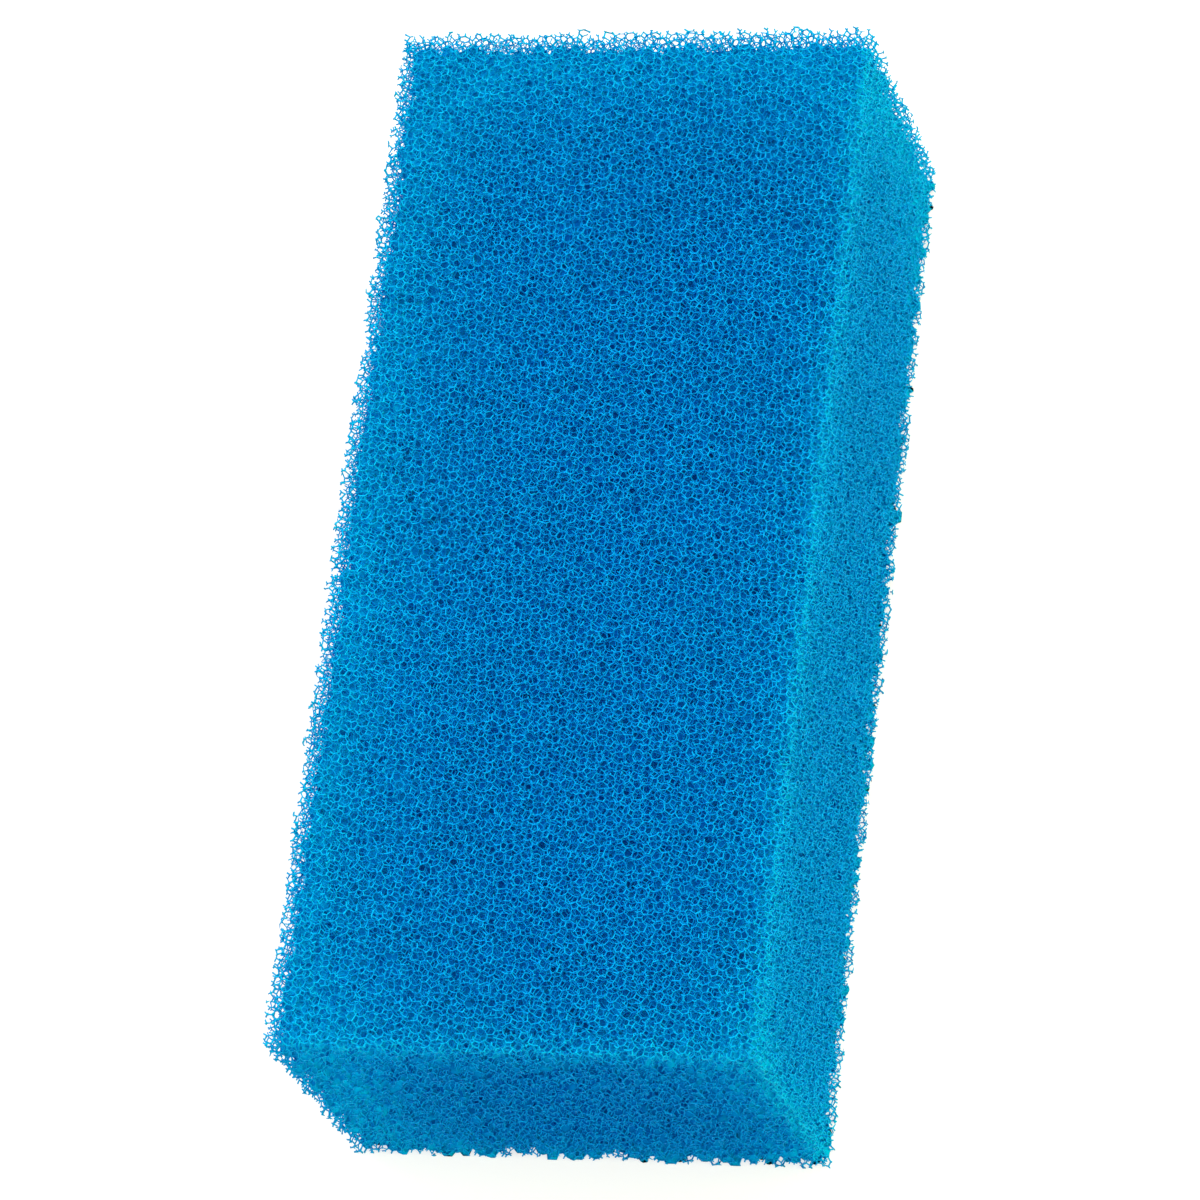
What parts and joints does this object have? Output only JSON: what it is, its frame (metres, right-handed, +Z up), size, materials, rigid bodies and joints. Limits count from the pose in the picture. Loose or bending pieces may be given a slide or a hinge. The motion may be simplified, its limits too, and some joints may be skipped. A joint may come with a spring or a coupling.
{
  "type": "filter foam block",
  "caption": "Rectangular block of coarse open-cell reticulated foam, the filter sponge of an aquarium or pond filter.",
  "frame": {"origin": "centre of the underside, the large face that the block lies on", "axes": "+X across the width, +Y along the length, +Z up through the thickness"},
  "size_m": [0.06, 0.133, 0.04],
  "materials": {
    "blue_foam": "matt open-cell polyurethane foam, dyed through"
  },
  "bodies": {
    "root": {"foam_block": "blue_foam"}
  },
  "joints": []
}
